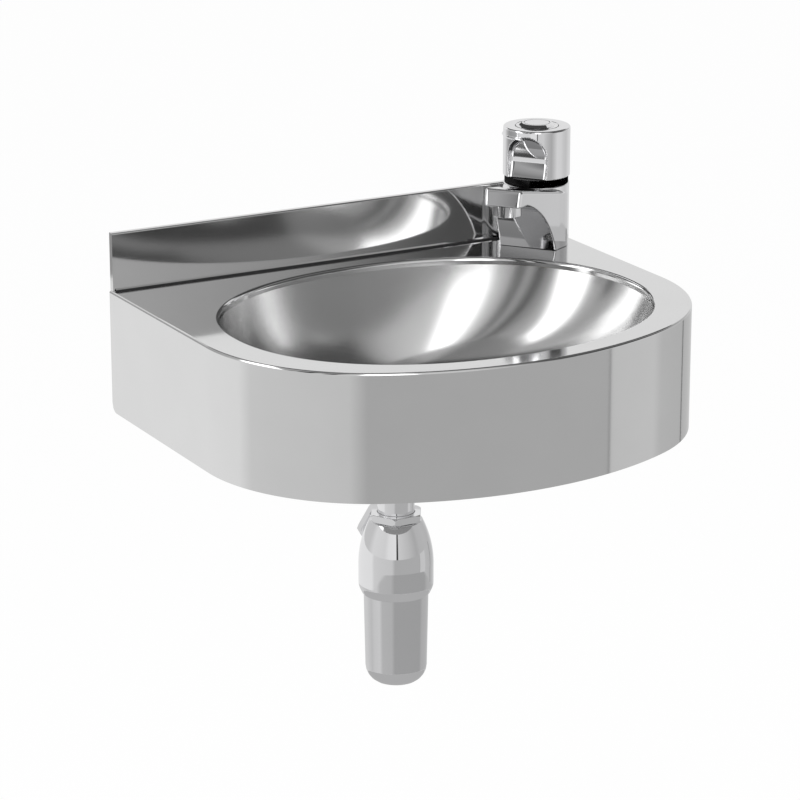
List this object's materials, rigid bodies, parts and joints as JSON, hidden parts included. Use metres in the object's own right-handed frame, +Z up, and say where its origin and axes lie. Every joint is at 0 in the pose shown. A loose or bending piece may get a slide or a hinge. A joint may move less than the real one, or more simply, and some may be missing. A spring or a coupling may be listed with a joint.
{
  "type": "stainless steel hand wash sink",
  "caption": "Wall-hung stainless steel hand wash basin with a bowed apron, oval bowl, low splashback, corner push tap and bottle trap.",
  "frame": {"origin": "middle of the two wall fixing holes, on the wall plane, 35 mm below the deck's top", "axes": "+X along the wall to the user's right, +Y into the wall, +Z up"},
  "size_m": [0.43, 0.35, 0.4627],
  "materials": {
    "polished_steel": "bright polished sheet, near mirror",
    "satin_steel": "satin brushed sheet",
    "plain_steel": "plain",
    "chrome": "bright chrome plate",
    "brass": "bare machined brass",
    "rubber": "moulded",
    "black_plastic": "satin black",
    "white_plastic": "moulded"
  },
  "bodies": {
    "basin": {"deck_and_apron": "polished_steel", "bowl": "satin_steel", "splashback": "polished_steel", "rear_flange": "satin_steel", "waste_strainer": "chrome", "waste_top_seal": "rubber", "waste_lower_seal": "rubber", "waste_backnut": "brass", "trap_coupling_washer": "rubber", "trap_coupling_nut": "chrome", "trap_inlet_tube": "chrome", "trap_inlet_nut": "chrome", "trap_inlet_seal": "rubber", "trap_body": "chrome", "trap_outlet_nut": "chrome", "trap_outlet_seal": "rubber", "tap_body": "chrome", "base_gasket": "rubber", "tap_shank": "brass", "tap_rubber_washer": "rubber", "tap_clamp_washer": "plain_steel", "tap_fixing_nut": "brass", "temperature_ring": "black_plastic", "tap_cartridge": "white_plastic", "cartridge_nut": "brass", "aerator_housing": "chrome", "aerator_insert": "white_plastic", "aerator_seal": "rubber"},
    "head": {"tap_head": "chrome", "mixing_stem": "brass", "button_spring": "plain_steel"},
    "button": {"push_button": "chrome", "push_rod": "plain_steel"},
    "cup_seal": {"trap_cup_seal": "rubber"},
    "cup": {"trap_cup": "chrome"}
  },
  "joints": [
    {"name": "temperature_turn", "type": "hinge", "parent": "basin", "child": "head", "pos_m": [0.1793, -0.0356, 0.11], "axis": [0, 0, 1], "range_deg": [-50, 50]},
    {"name": "button_press", "type": "slide", "parent": "head", "child": "button", "axis": [0, 0, -1], "range_m": [0, 0.004], "stiffness_N_per_m": 1500, "springref_m": -0.004, "deforming": ["button_spring"]},
    {"name": "cup_drop", "type": "slide", "parent": "basin", "child": "cup_seal", "axis": [0, 0, -1], "range_m": [0, 0.0076]},
    {"name": "cup_unscrew", "type": "hinge", "parent": "cup_seal", "child": "cup", "pos_m": [0, -0.1065, -0.27], "axis": [0, 0, -1], "range_deg": [0, 1080]}
  ],
  "couplings": [
    {"joint": "cup_drop", "follows": "cup_unscrew", "m_per_rad": 0.00039789}
  ]
}
